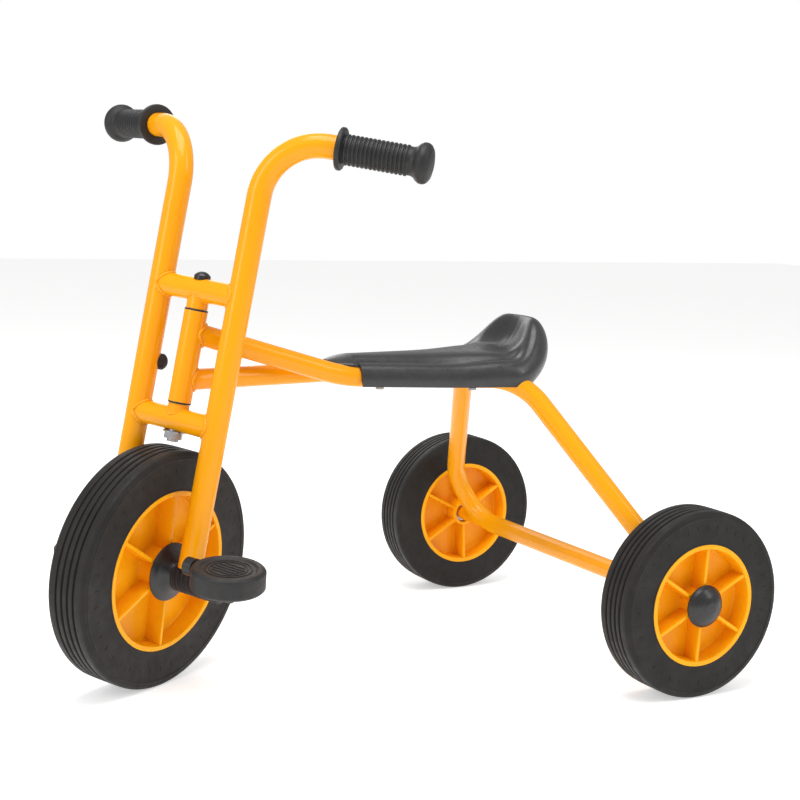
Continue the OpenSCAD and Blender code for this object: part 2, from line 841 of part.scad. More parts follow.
// A moulded wheel: grooved rim, thin web and ribs on both sides. Its hub is a separate section.
rib_recess = 1.2;
wheel_turn = 8;
module wheel_body(rim_d, w, hub) {
    r = rim_d / 2;
    half = w / 2;
    union() {
        turned([
            [r - rim_t, -half], [r, -half], [r, -tongue_w / 2], [r - tongue_h, -tongue_w / 2],
            [r - tongue_h, tongue_w / 2], [r, tongue_w / 2], [r, half], [r - rim_t, half]
        ]);
        difference() {
            union() {
                translate([0, 0, -web_t / 2])
                    cylinder(r = r - rim_t + 1, h = web_t);
                for (i = [0 : wheel_ribs - 1])
                    rotate([0, 0, i * 360 / wheel_ribs])
                        translate([0, -wheel_rib_t / 2, -half + rib_recess])
                            cube([r - rim_t + 1, wheel_rib_t, w - 2 * rib_recess]);
            }
            translate([0, 0, -half])
                cylinder(d = hub - 1, h = w);
        }
    }
}

module rear_tyre(side) {
    color(BLACK)
        rear_hub(side)
            tyre(rear_d, rear_rim_d, rear_w);
}
module rear_tyre_left() { rear_tyre(1); }
module rear_tyre_right() { rear_tyre(-1); }

module rear_rim(side) {
    color(PLASTIC)
        rear_hub(side)
            rotate([0, 0, wheel_turn])
                union() {
                    wheel_body(rear_rim_d, rear_w, hub_d);
                    turned([
                        [recess_d / 2, -rear_face], [hub_d / 2, -rear_face], [hub_d / 2, rear_face],
                        [recess_d / 2, rear_face], [recess_d / 2, rear_face - outer_recess],
                        [hub_bore / 2, rear_face - outer_recess], [hub_bore / 2, -rear_face + inner_recess],
                        [recess_d / 2, -rear_face + inner_recess]
                    ]);
                }
}
module rear_rim_left() { rear_rim(1); }
module rear_rim_right() { rear_rim(-1); }

module rear_bush(side) {
    color(NYLON)
        rear_hub(side)
            translate([0, 0, -rear_face + inner_recess])
                sleeve(hub_bore, axle_pin_d + 2 * run_fit, rear_w - inner_recess - outer_recess);
}
module rear_bush_left() { rear_bush(1); }
module rear_bush_right() { rear_bush(-1); }

// Domed cap, plugged into the hub's outer recess
plug_len = 5;
module hub_cap(side) {
    color(BLACK)
        rear_hub(side)
            translate([0, 0, rear_face])
                difference() {
                    union() {
                        translate([0, 0, -plug_len])
                            cylinder(d = recess_d, h = plug_len + 0.5);
                        cylinder(d = hub_cap_d, h = 2.5);
                        translate([0, 0, 2.5])
                            dome(hub_cap_d, hub_cap_h - 2.5);
                    }
                    translate([0, 0, -plug_len - 1])
                        cylinder(d = recess_d - 5, h = plug_len + 6);
                }
}
module hub_cap_left() { hub_cap(1); }
module hub_cap_right() { hub_cap(-1); }

// ---------------------------------------------------------------- front wheel

// The wheel and the axle are pinned together
front_hub_d = 44;
pin_turn = 15;
module front_tyre() {
    color(BLACK)
        front_axle()
            outward(1)
                tyre(front_d, front_rim_d, front_w);
}

module front_rim() {
    color(PLASTIC)
        front_axle()
            rotate([wheel_turn, 0, 0])
                outward(1)
                    difference() {
                        union() {
                            wheel_body(front_rim_d, front_w, front_hub_d);
                            turned([
                                [crank_axle_d / 2, -face_f], [front_hub_d / 2, -face_f],
                                [front_hub_d / 2, face_f], [crank_axle_d / 2, face_f]
                            ]);
                        }
                        rotate([0, 0, pin_turn])
                            rotate([90, 0, 0])
                                translate([0, 0, -front_hub_d])
                                    cylinder(d = drive_pin_d, h = 2 * front_hub_d);
                    }
}

// Trumpet-shaped flange between the wheel's hub and the fork
module hub_flange(side) {
    color(BLACK)
        front_axle()
            outward(side)
                translate([0, 0, face_f])
                    turned([
                        [crank_axle_d / 2, 0], [hub_flange_d / 2, 0], [hub_flange_d / 2, 1.6],
                        [hub_flange_d / 2 * 0.86, 2.6], [hub_flange_d / 2 * 0.7, 4], [hub_flange_d / 2 * 0.56, 6],
                        [hub_flange_d / 2 * 0.46, 8.6], [hub_flange_d / 2 * 0.41, 11],
                        [hub_flange_d / 2 * 0.4, flange_len], [crank_axle_d / 2, flange_len]
                    ]);
}
module hub_flange_left() { hub_flange(1); }
module hub_flange_right() { hub_flange(-1); }

module crank_axle() {
    color(ZINC)
        front_axle()
            rotate([wheel_turn, 0, 0])
                rotate([0, 90, 0])
                    difference() {
                        translate([0, 0, -arm_out])
                            cylinder(d = crank_axle_d, h = 2 * arm_out);
                        rotate([0, 0, pin_turn])
                            rotate([90, 0, 0])
                                translate([0, 0, -crank_axle_d])
                                    cylinder(d = drive_pin_d, h = 2 * crank_axle_d);
                    }
}

// Pin across the hub and the axle, so that the cranks drive the wheel
drive_pin_d = 5;
module drive_pin() {
    color(ZINC)
        front_axle()
            rotate([wheel_turn, 0, 0])
                rotate([0, 90, 0])
                    rotate([0, 0, pin_turn])
                        rotate([90, 0, 0])
                            translate([0, 0, -front_hub_d / 2 + 1])
                                cylinder(d = drive_pin_d, h = front_hub_d - 2);
}

// Crank frame: z out along the axle, x from the axle towards the pedal's spindle
module crank_frame(side) {
    front_axle()
        placed(
            side * [0, -cos(crank_now), sin(crank_now)],
            side * cross([side, 0, 0], [0, -cos(crank_now), sin(crank_now)]),
            [side, 0, 0], [0, 0, 0]
        ) children();
}

eye_d = 24;
spindle_eye_d = 18;
module crank_arm(side) {
    color(ZINC)
        crank_frame(side)
            translate([0, 0, arm_in])
                difference() {
                    union() {
                        cylinder(d = eye_d, h = arm_t);
                        translate([crank_len, 0, 0])
                            cylinder(d = spindle_eye_d, h = arm_t);
                        translate([0, -6, 0])
                            cube([crank_len, 12, arm_t]);
                    }
                    translate([0, 0, -1])
                        cylinder(d = crank_axle_d, h = arm_t + 2);
                    translate([crank_len, 0, -1])
                        cylinder(d = spindle_d, h = arm_t + 2);
                }
}
module crank_arm_left() { crank_arm(1); }
module crank_arm_right() { crank_arm(-1); }

// Spindle, pressed into the arm's eye, with a head that holds the pedal on
spindle_end = pedal_offset + pedal_d / 2 - 7;
module pedal_spindle(side) {
    color(ZINC)
        crank_frame(side)
            translate([crank_len, 0, 0]) {
                translate([0, 0, arm_in])
                    cylinder(d = spindle_d, h = spindle_end - arm_in);
                translate([0, 0, spindle_end - 3])
                    cylinder(d = spindle_d + 3, h = 3);
            }
}
module pedal_spindle_left() { pedal_spindle(1); }
module pedal_spindle_right() { pedal_spindle(-1); }

// Pedal frame: z through the thickness of the block, x outward along the spindle
pedal_bore = 16;
module pedal_frame(side) {
    front_axle()
        translate([side * pedal_offset, 0, 0])
            translate(side * crank_len * [0, -cos(crank_now), sin(crank_now)])
                rotate([pedal_tilt, 0, 0])
                    children();
}

module pedal_block(side) {
    r = pedal_d / 2;
    h = pedal_t / 2;
    color(BLACK)
        pedal_frame(side)
            difference() {
                turned([
                    [0, -h + 1.2], [r - 9, -h + 1.2], [r - 8, -h], [r - 4, -h], [r - 1.2, -h + 1.2], [r, -h + 4],
                    [r, h - 4], [r - 1.2, h - 1.2], [r - 4, h], [r - 8, h], [r - 9, h - 1.2], [0, h - 1.2]
                ]);
                translate([-side * (r + 1), 0, 0])
                    rotate([0, side * 90, 0])
                        cylinder(d = pedal_bore, h = pedal_d - 5);
            }
}
module pedal_block_left() { pedal_block(1); }
module pedal_block_right() { pedal_block(-1); }

module pedal_bush(side) {
    r = pedal_d / 2;
    color(NYLON)
        pedal_frame(side)
            translate([-side * (r - 2), 0, 0])
                rotate([0, side * 90, 0])
                    sleeve(pedal_bore, spindle_d + 2 * run_fit, pedal_d - 13);
}
module pedal_bush_left() { pedal_bush(1); }
module pedal_bush_right() { pedal_bush(-1); }

frame_tube_left();
frame_tube_right();
head_tube();
head_bush_upper();
head_bush_lower();
rear_axle_left();
rear_axle_right();
axle_washers();
axle_retainers();
seat();
seat_screws();
fork_tube_left();
fork_tube_right();
upper_crossbar();
lower_crossbar();
upper_boss();
lower_boss();
kingpin();
kingpin_nut();
kingpin_cap();
stop_bumper_left();
stop_bumper_right();
grip_left();
grip_right();
axle_housing_left();
axle_housing_right();
axle_bush_left();
axle_bush_right();
ribbed_sleeve_left();
ribbed_sleeve_right();
front_tyre();
front_rim();
hub_flange_left();
hub_flange_right();
crank_axle();
drive_pin();
crank_arm_left();
crank_arm_right();
pedal_spindle_left();
pedal_spindle_right();
pedal_block_left();
pedal_block_right();
pedal_bush_left();
pedal_bush_right();
rear_tyre_left();
rear_tyre_right();
rear_rim_left();
rear_rim_right();
rear_bush_left();
rear_bush_right();
hub_cap_left();
hub_cap_right();
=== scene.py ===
"""Looks for the children's tricycle: tyres, wheels, seat, grips, pedals, welds and finishes."""
import json

from math import cos, pi, radians, sin, sqrt, tan

import bpy
from mathutils import Matrix, Vector


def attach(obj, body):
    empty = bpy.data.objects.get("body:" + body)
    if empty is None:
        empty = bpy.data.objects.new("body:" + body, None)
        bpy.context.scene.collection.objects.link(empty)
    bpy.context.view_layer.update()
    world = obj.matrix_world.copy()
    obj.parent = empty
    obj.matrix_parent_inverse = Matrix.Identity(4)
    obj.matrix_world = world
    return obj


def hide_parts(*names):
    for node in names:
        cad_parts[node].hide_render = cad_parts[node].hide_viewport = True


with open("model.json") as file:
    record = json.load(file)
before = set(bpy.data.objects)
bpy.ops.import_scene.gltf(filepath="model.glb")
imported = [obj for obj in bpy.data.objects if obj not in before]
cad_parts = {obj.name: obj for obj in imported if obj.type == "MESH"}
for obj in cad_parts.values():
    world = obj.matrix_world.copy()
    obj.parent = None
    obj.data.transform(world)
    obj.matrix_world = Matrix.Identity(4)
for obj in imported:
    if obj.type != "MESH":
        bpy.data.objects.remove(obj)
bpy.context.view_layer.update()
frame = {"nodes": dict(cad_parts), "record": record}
MM = 0.001
hinges = {j["name"]: j for j in frame["record"]["behaviour"]["joints"]}


def place_of(joint):
    return Vector(hinges[joint]["pos_m"])


def axis_of(joint):
    return Vector(hinges[joint]["axis"]).normalized()


# The fork's own directions: up its steering axis, out along the front axle, and rearward
UP = axis_of("steering")
OUT = axis_of("front_wheel_spin")
REAR = UP.cross(OUT)
HUB = place_of("front_wheel_spin")
AXLE_SETBACK = 3.5 * MM
FORK_FOOT = HUB - REAR * AXLE_SETBACK


# ------------------------------------------------------------------ camera, floor and light

LENS = 71.478
CAMERA_AZIMUTH = radians(60.564)
CAMERA_ELEVATION = radians(8.139)
CAMERA_ROLL = radians(2.149)
CAMERA_DISTANCE = 1.732146
CAMERA_AIM = Vector((0, 0.0008, 0.25))
CAMERA_RIGHT = 0.036431
CAMERA_RISE = 0.038837
FLOOR_SIZE = 14


def directions(x, y, z, at):
    """The matrix that turns local axes to x, y and z and moves the origin to a point."""
    m = Matrix((x, y, z)).transposed().to_4x4()
    m.translation = at
    return m


def add_camera():
    """Stand at the rider's front left, a little above the seat, and look level across."""
    az, el = CAMERA_AZIMUTH, CAMERA_ELEVATION
    back = Vector((sin(az) * cos(el), -cos(az) * cos(el), sin(el)))
    level = Vector((cos(az), sin(az), 0))
    upright = back.cross(level)
    right = level * cos(CAMERA_ROLL) + upright * sin(CAMERA_ROLL)
    up = upright * cos(CAMERA_ROLL) - level * sin(CAMERA_ROLL)
    data = bpy.data.cameras.new("camera")
    data.lens = LENS
    data.sensor_width = 36
    data.clip_start = 0.05
    data.clip_end = 50
    camera = bpy.data.objects.new("camera", data)
    bpy.context.scene.collection.objects.link(camera)
    stand = CAMERA_AIM + right * CAMERA_RIGHT + up * CAMERA_RISE + back * CAMERA_DISTANCE
    camera.matrix_world = directions(right, up, back, stand)
    bpy.context.scene.camera = camera


def add_softbox(name, at, aim, size, power):
    """A rectangular lamp at one point, turned to face another."""
    data = bpy.data.lights.new(name, "AREA")
    data.shape = "RECTANGLE"
    data.size, data.size_y = size
    data.energy = power
    light = bpy.data.objects.new(name, data)
    bpy.context.scene.collection.objects.link(light)
    light.location = at
    light.rotation_euler = (Vector(aim) - Vector(at)).to_track_quat("-Z", "Y").to_euler()


def add_studio():
    """A white room that lights softly, with large lamps above, in front and to the left."""
    bpy.context.scene.view_settings.view_transform = "Standard"
    world = bpy.data.worlds.new("studio")
    bpy.context.scene.world = world
    world.use_nodes = True
    tree = world.node_tree
    soft = tree.nodes["Background"]
    soft.inputs["Color"].default_value = (1, 1, 1, 1)
    soft.inputs["Strength"].default_value = 0.5
    white = tree.nodes.new("ShaderNodeBackground")
    white.inputs["Color"].default_value = (1, 1, 1, 1)
    white.inputs["Strength"].default_value = 1.0
    seen = tree.nodes.new("ShaderNodeMixShader")
    path = tree.nodes.new("ShaderNodeLightPath")
    tree.links.new(path.outputs["Is Camera Ray"], seen.inputs["Fac"])
    tree.links.new(soft.outputs["Background"], seen.inputs[1])
    tree.links.new(white.outputs["Background"], seen.inputs[2])
    tree.links.new(seen.outputs["Shader"], tree.nodes["World Output"].inputs["Surface"])
    add_softbox("overhead", (0.4, -0.3, 2.3), (0, 0, 0.2), (1.5, 1.5), 34)
    add_softbox("left_strip", (1.9, 1.5, 1.7), (0, 0, 0.3), (0.7, 1.8), 15)
    add_softbox("front_strip", (0.3, -2.4, 1.4), (0, -0.1, 0.3), (0.9, 1.6), 17)
    add_softbox("far_fill", (-2.2, 0.3, 1.3), (0, 0, 0.3), (1.4, 1.4), 10)


def add_floor():
    """A plain floor of white paper."""
    bpy.ops.mesh.primitive_plane_add(size=FLOOR_SIZE, location=(0, 0, 0))
    floor = bpy.context.object
    floor.name = "floor"
    mat = bpy.data.materials.new("floor_paper")
    mat.use_nodes = True
    shader = mat.node_tree.nodes["Principled BSDF"]
    shader.inputs["Base Color"].default_value = (0.93, 0.93, 0.925, 1)
    shader.inputs["Roughness"].default_value = 0.9
    shader.inputs["Specular IOR Level"].default_value = 0.1
    shader.inputs["Emission Color"].default_value = (1, 1, 1, 1)
    shader.inputs["Emission Strength"].default_value = 0.45
    floor.data.materials.append(mat)


# ------------------------------------------------------------------ finishes


class Finish:
    """A material under construction: a shader, and patterns that read Object coordinates."""

    def __init__(self, name, color, roughness):
        self.mat = bpy.data.materials.new(name)
        self.mat.use_nodes = True
        self.tree = self.mat.node_tree
        self.shader = self.tree.nodes["Principled BSDF"]
        self.shader.inputs["Base Color"].default_value = (*color, 1)
        self.shader.inputs["Roughness"].default_value = roughness
        self.place = self.tree.nodes.new("ShaderNodeTexCoord").outputs["Object"]
        self.color = color
        self.roughness = roughness
        self.height = None

    def set(self, **values):
        """Plain numbers on the shader's own sockets."""
        for key, value in values.items():
            self.shader.inputs[key.replace("_", " ")].default_value = value
        return self

    def noise(self, scale, detail=3.0, rough=0.5, stretch=(1, 1, 1)):
        """Cloudy pattern, drawn out along an axis where its stretch is under one."""
        mapping = self.tree.nodes.new("ShaderNodeMapping")
        mapping.inputs["Scale"].default_value = stretch
        self.tree.links.new(self.place, mapping.inputs["Vector"])
        node = self.tree.nodes.new("ShaderNodeTexNoise")
        node.inputs["Scale"].default_value = scale
        node.inputs["Detail"].default_value = detail
        node.inputs["Roughness"].default_value = rough
        self.tree.links.new(mapping.outputs["Vector"], node.inputs["Vector"])
        return node.outputs["Fac"]

    def cells(self, scale):
        """Grain of small cells with a crease between them."""
        node = self.tree.nodes.new("ShaderNodeTexVoronoi")
        node.feature = "DISTANCE_TO_EDGE"
        node.inputs["Scale"].default_value = scale
        self.tree.links.new(self.place, node.inputs["Vector"])
        return node.outputs["Distance"]

    def spread(self, value, low, high, to_low, to_high):
        node = self.tree.nodes.new("ShaderNodeMapRange")
        node.inputs["From Min"].default_value = low
        node.inputs["From Max"].default_value = high
        node.inputs["To Min"].default_value = to_low
        node.inputs["To Max"].default_value = to_high
        self.tree.links.new(value, node.inputs["Value"])
        return node.outputs["Result"]

    def tint(self, value, low, high, other):
        """Colour drifts towards another as a pattern goes from low to high."""
        ramp = self.tree.nodes.new("ShaderNodeValToRGB")
        ramp.color_ramp.elements[0].position = low
        ramp.color_ramp.elements[1].position = high
        ramp.color_ramp.elements[0].color = (*self.color, 1)
        ramp.color_ramp.elements[1].color = (*other, 1)
        self.tree.links.new(value, ramp.inputs["Fac"])
        self.tree.links.new(ramp.outputs["Color"], self.shader.inputs["Base Color"])
        return self

    def gloss(self, value, low, high, swing):
        """Roughness swings to both sides of its middle value as a pattern changes."""
        out = self.spread(value, low, high, self.roughness - swing, self.roughness + swing)
        self.tree.links.new(out, self.shader.inputs["Roughness"])
        return self

    def bump(self, value, depth_mm, strength=1.0):
        """Fine relief from a pattern, over any relief that is there already."""
        node = self.tree.nodes.new("ShaderNodeBump")
        node.inputs["Strength"].default_value = strength
        node.inputs["Distance"].default_value = depth_mm * MM
        self.tree.links.new(value, node.inputs["Height"])
        if self.height:
            self.tree.links.new(self.height, node.inputs["Normal"])
        self.height = node.outputs["Normal"]
        self.tree.links.new(self.height, self.shader.inputs["Normal"])
        return self


def powder_coat():
    """Glossy powder paint: faint orange peel, and a slow drift of depth in the colour."""
    f = Finish("powder_coat", (0.90, 0.36, 0.002), 0.22)
    f.set(Coat_Weight=0.12, Coat_Roughness=0.08, Specular_IOR_Level=0.25)
    f.tint(f.noise(9, 2), 0.35, 0.75, (0.87, 0.325, 0.002))
    f.gloss(f.noise(60, 3), 0.3, 0.7, 0.04)
    return f.bump(f.noise(420, 2), 0.05, 0.5).bump(f.noise(1600, 2), 0.02, 0.35).mat


def wheel_plastic():
    """Moulded plastic of the wheels, a deeper orange where the flow lines gather."""
    f = Finish("wheel_plastic", (0.95, 0.42, 0.004), 0.3)
    f.set(Specular_IOR_Level=0.2, Subsurface_Weight=0.06, Subsurface_Radius=(0.004, 0.0015, 0.0005))
    f.tint(f.noise(22, 3), 0.4, 0.8, (0.94, 0.385, 0.003))
    f.gloss(f.noise(140, 4), 0.3, 0.7, 0.06)
    return f.bump(f.noise(900, 3), 0.03, 0.4).mat


def tyre_rubber():
    """Solid rubber: dull, with a dusty bloom and fine mould grain."""
    f = Finish("tyre_rubber", (0.013, 0.012, 0.011), 0.55)
    f.set(Specular_IOR_Level=0.22, Sheen_Weight=0.04, Sheen_Roughness=0.5)
    f.tint(f.noise(34, 6, 0.65), 0.42, 0.78, (0.022, 0.020, 0.019))
    f.gloss(f.noise(90, 5), 0.3, 0.7, 0.1)
    return f.bump(f.noise(1300, 4), 0.08, 0.5).bump(f.cells(700), 0.03, 0.3).mat


def seat_plastic():
    """Satin moulded seat with a fine leather grain."""
    f = Finish("seat_plastic", (0.030, 0.030, 0.031), 0.3)
    f.set(Specular_IOR_Level=0.5)
    f.tint(f.noise(26, 4), 0.4, 0.8, (0.037, 0.037, 0.038))
    f.gloss(f.noise(120, 5), 0.3, 0.7, 0.07)
    return f.bump(f.cells(950), 0.05, 0.35).bump(f.noise(2400, 2), 0.03, 0.3).mat


def grip_rubber():
    """Firm rubber of the grips, slightly polished by hands."""
    f = Finish("grip_rubber", (0.013, 0.013, 0.013), 0.5)
    f.set(Specular_IOR_Level=0.4)
    f.tint(f.noise(70, 4), 0.4, 0.8, (0.019, 0.019, 0.019))
    f.gloss(f.noise(200, 4), 0.3, 0.7, 0.08)
    return f.bump(f.noise(1800, 3), 0.05, 0.5).mat


def soft_rubber():
    """Softer, duller rubber of the sleeves and the steering stops."""
    f = Finish("soft_rubber", (0.012, 0.011, 0.011), 0.5)
    f.set(Specular_IOR_Level=0.35)
    f.tint(f.noise(90, 4), 0.4, 0.8, (0.018, 0.016, 0.016))
    f.gloss(f.noise(240, 4), 0.3, 0.7, 0.08)
    return f.bump(f.noise(1500, 3), 0.05, 0.5).mat


def pedal_plastic():
    """Hard plastic with a coarse grain that a shoe doesn't slip on."""
    f = Finish("pedal_plastic", (0.016, 0.015, 0.015), 0.55)
    f.set(Specular_IOR_Level=0.4)
    f.tint(f.noise(60, 5), 0.4, 0.8, (0.026, 0.024, 0.023))
    f.gloss(f.noise(180, 4), 0.3, 0.7, 0.08)
    return f.bump(f.cells(1100), 0.06, 0.45).mat


def black_plastic():
    """Satin moulding plastic of the hub caps and flanges."""
    f = Finish("black_plastic", (0.012, 0.012, 0.013), 0.32)
    f.set(Specular_IOR_Level=0.5)
    f.tint(f.noise(50, 3), 0.4, 0.8, (0.018, 0.018, 0.019))
    f.gloss(f.noise(160, 4), 0.3, 0.7, 0.05)
    return f.bump(f.noise(1400, 2), 0.025, 0.4).mat


def nylon():
    """Plain dark bearing nylon."""
    f = Finish("nylon", (0.016, 0.016, 0.017), 0.42)
    f.tint(f.noise(80, 3), 0.4, 0.8, (0.024, 0.024, 0.025))
    return f.bump(f.noise(1200, 2), 0.03, 0.4).mat


def zinc_steel():
    """Bright zinc plating: a cool and a faintly yellow tone, brushed along the length."""
    f = Finish("zinc_steel", (0.40, 0.41, 0.43), 0.34)
    f.set(Metallic=1.0)
    f.tint(f.noise(40, 4), 0.4, 0.8, (0.36, 0.35, 0.32))
    f.gloss(f.noise(300, 4, 0.6, (0.2, 1, 1)), 0.3, 0.7, 0.08)
    return f.bump(f.noise(900, 2, 0.5, (0.1, 1, 1)), 0.02, 0.4).mat


def black_zinc():
    """Blackened zinc plating on the cranks and pedal spindles: dark, with a dull metal sheen."""
    f = Finish("black_zinc", (0.035, 0.035, 0.037), 0.4)
    f.set(Metallic=0.6, Specular_IOR_Level=0.4)
    f.tint(f.noise(50, 4), 0.4, 0.8, (0.055, 0.054, 0.052))
    f.gloss(f.noise(260, 4), 0.3, 0.7, 0.08)
    return f.bump(f.noise(1100, 2), 0.02, 0.4).mat


FINISHES = {
    "frame_paint": powder_coat(),
    "wheel_plastic": wheel_plastic(),
    "tyre_rubber": tyre_rubber(),
    "seat_plastic": seat_plastic(),
    "grip_rubber": grip_rubber(),
    "soft_rubber": soft_rubber(),
    "pedal_plastic": pedal_plastic(),
    "black_plastic": black_plastic(),
    "nylon": nylon(),
    "zinc_steel": zinc_steel(),
}
CRANK_FINISH = black_zinc()


def dress_frame():
    """Every carried-over CAD node takes the finish of its own slot; the cranks are blackened."""
    for part in frame["record"]["subparts"]:
        node = frame["nodes"][part["node"]]
        node.data.materials.clear()
        crank = part["node"].startswith(("crank_arm", "pedal_spindle"))
        node.data.materials.append(CRANK_FINISH if crank else FINISHES[part["material_slot"]])


# ------------------------------------------------------------------ modelling helpers


def deselect():
    if bpy.context.mode != "OBJECT":
        bpy.ops.object.mode_set(mode="OBJECT")
    bpy.ops.object.select_all(action="DESELECT")


def pick(piece):
    deselect()
    piece.select_set(True)
    bpy.context.view_layer.objects.active = piece


# A turn, in radians, too slight to round, and the most of an edge that one rounding may take
STRAIGHT = 0.12
EDGE_SHARE = 0.46
# Points closer than this are one point
WELD_GAP = 0.00001


def soften(outline, radius, steps=4):
    """Round the corners of a closed outline, each by as much as its edges allow."""
    count = len(outline)
    points = []
    for i, here in enumerate(outline):
        here = Vector(here)
        before, after = Vector(outline[i - 1]), Vector(outline[(i + 1) % count])
        into, out = here - before, after - here
        r = radius[i] if isinstance(radius, list) else radius
        if r <= 0 or into.length < 1e-9 or out.length < 1e-9:
            points.append(here)
            continue
        turn = into.angle(out)
        if turn < STRAIGHT:
            points.append(here)
            continue
        cut = min(r * tan(turn / 2), into.length * EDGE_SHARE, out.length * EDGE_SHARE)
        start, end = here - into.normalized() * cut, here + out.normalized() * cut
        for k in range(steps + 1):
            t = k / steps
            points.append(start * (1 - t) ** 2 + here * 2 * t * (1 - t) + end * t ** 2)
    return points


def turn_on_lathe(name, outline, around=96):
    """Draw a closed outline of (radius, height) in millimetres and spin it round Z."""
    deselect()
    bpy.ops.mesh.primitive_plane_add(size=0.001, location=(0, 0, 0))
    piece = bpy.context.object
    piece.name = piece.data.name = name
    bpy.ops.object.mode_set(mode="EDIT")
    bpy.ops.mesh.select_all(action="SELECT")
    bpy.ops.mesh.merge(type="CENTER")
    route = [Vector((p[0], 0, p[1])) * MM for p in outline]
    bpy.ops.transform.translate(value=route[0])
    here = route[0]
    for stop in route[1:] + [route[0]]:
        bpy.ops.mesh.extrude_region_move(TRANSFORM_OT_translate={"value": stop - here})
        here = stop
    bpy.ops.mesh.select_all(action="SELECT")
    bpy.ops.mesh.spin(steps=around, angle=2 * pi, center=(0, 0, 0), axis=(0, 0, 1))
    bpy.ops.mesh.select_all(action="SELECT")
    bpy.ops.mesh.remove_doubles(threshold=WELD_GAP)
    bpy.ops.mesh.normals_make_consistent(inside=False)
    bpy.ops.object.mode_set(mode="OBJECT")
    return piece


def smooth(piece, degrees=35):
    """Smooth shading that keeps the edges sharper than an angle."""
    pick(piece)
    bpy.ops.object.shade_smooth_by_angle(angle=radians(degrees))


def stand(piece, matrix):
    """Put a piece in its place in the tricycle, with its object left at the origin."""
    pick(piece)
    piece.matrix_world = matrix
    bpy.ops.object.transform_apply(location=True, rotation=True, scale=True)


def apply_all(piece):
    """Apply every modifier, in order."""
    pick(piece)
    for modifier in list(piece.modifiers):
        bpy.ops.object.modifier_apply(modifier=modifier.name)


def join(pieces):
    """Make several meshes one."""
    deselect()
    for piece in pieces:
        piece.select_set(True)
    bpy.context.view_layer.objects.active = pieces[0]
    bpy.ops.object.join()
    return pieces[0]


def copy_of(piece, name):
    """A copy with its own mesh."""
    twin = piece.copy()
    twin.data = piece.data.copy()
    twin.name = twin.data.name = name
    bpy.context.scene.collection.objects.link(twin)
    return twin


def hand_over(piece, body, slot, *nodes):
    """Give a finished piece its material, its body and the CAD nodes that it stands for."""
    piece.data.materials.clear()
    piece.data.materials.append(FINISHES[slot])
    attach(piece, body)
    if nodes:
        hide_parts(*nodes)


def bar(name, size, at, turn=0.0, soft=0.5):
    """A block with bevelled edges, centred at a place and turned round Z; sizes in millimetres."""
    deselect()
    bpy.ops.mesh.primitive_cube_add(size=1, location=(0, 0, 0))
    piece = bpy.context.object
    piece.name = name
    piece.scale = Vector(size) * MM
    piece.location = Vector(at) * MM
    bpy.ops.object.transform_apply(location=True, rotation=True, scale=True)
    if turn:
        piece.rotation_euler = (0, 0, turn)
        bpy.ops.object.transform_apply(location=True, rotation=True, scale=True)
    bevel = piece.modifiers.new("edges", "BEVEL")
    bevel.width = soft * MM
    bevel.segments = 3
    apply_all(piece)
    return piece


def weld_to(piece, others):
    """Unite a piece with others that run into it."""
    for other in others:
        union = piece.modifiers.new("unite", "BOOLEAN")
        union.operation = "UNION"
        union.solver = "EXACT"
        union.object = other
        apply_all(piece)
        bpy.data.objects.remove(other, do_unlink=True)
    return piece


# ------------------------------------------------------------------ places on the tricycle


def rear_place(side):
    """From a lathe's frame to a rear wheel: +Z goes outward, +Y stays level, +X points down."""
    at = place_of("left_rear_wheel_spin" if side > 0 else "right_rear_wheel_spin")
    z = Vector((side, 0, 0))
    x = Vector((0, 0, -1))
    return directions(x, z.cross(x), z, at)


def front_place(side):
    """The same for the front wheel, whose axle points to the rider's left."""
    z = OUT * side
    x = -UP
    return directions(x, z.cross(x), z, HUB)


# ------------------------------------------------------------------ tyres

GROOVES = 4
GROOVE_WIDTH = 2.4
GROOVE_DEPTH = 2.0
SHOULDER = 5.0
TYRE_DROP = 3.0
TICKS = 40


def make_tyre(name, d, rim_d, w):
    """Solid tyre: grooved tread, round shoulders, flat sides with a raised line and ticks."""
    r, half, seat = d / 2, w / 2, rim_d / 2
    land = (w - 2 * SHOULDER) / (GROOVES + 1)
    line = seat + 0.82 * (r - seat)
    side = [
        (seat, 0.0), (seat + 1.2, 0.0), (seat + 2.0, -0.5), (line - 1.6, -0.5),
        (line - 1.0, 0.0), (line + 0.4, 0.0), (line + 1.0, -0.5), (r - TYRE_DROP - 1.0, -0.6),
        (r - TYRE_DROP * 0.45, -SHOULDER * 0.35), (r - 0.3, -SHOULDER * 0.8),
    ]
    tread = []
    for i in range(1, GROOVES + 1):
        z = -half + SHOULDER + i * land
        tread += [
            (r, z - GROOVE_WIDTH / 2 - 0.4), (r - GROOVE_DEPTH, z - GROOVE_WIDTH / 2 + 0.2),
            (r - GROOVE_DEPTH, z + GROOVE_WIDTH / 2 - 0.2), (r, z + GROOVE_WIDTH / 2 + 0.4),
        ]
    outline = [(x, -half - z) for x, z in side] + tread + [(x, half + z) for x, z in reversed(side)]
    tyre = turn_on_lathe(name, soften(outline, 0.55, steps=3), 144)
    marks = []
    for face in (-1, 1):
        tick_r = seat + 0.52 * (r - seat)
        tick = bar("tick", (5.0, 0.9, 0.9), (tick_r, 0, face * (half - 0.62)), 0, 0.2)
        bpy.ops.object.mode_set(mode="EDIT")
        bpy.ops.mesh.select_all(action="SELECT")
        bpy.ops.mesh.spin(
            steps=TICKS, angle=2 * pi, center=(0, 0, 0), axis=(0, 0, 1), dupli=True
        )
        bpy.ops.mesh.select_all(action="SELECT")
        bpy.ops.mesh.remove_doubles(threshold=0.000005)
        bpy.ops.object.mode_set(mode="OBJECT")
        marks.append(tick)
    return join([tyre] + marks)


# ------------------------------------------------------------------ wheels

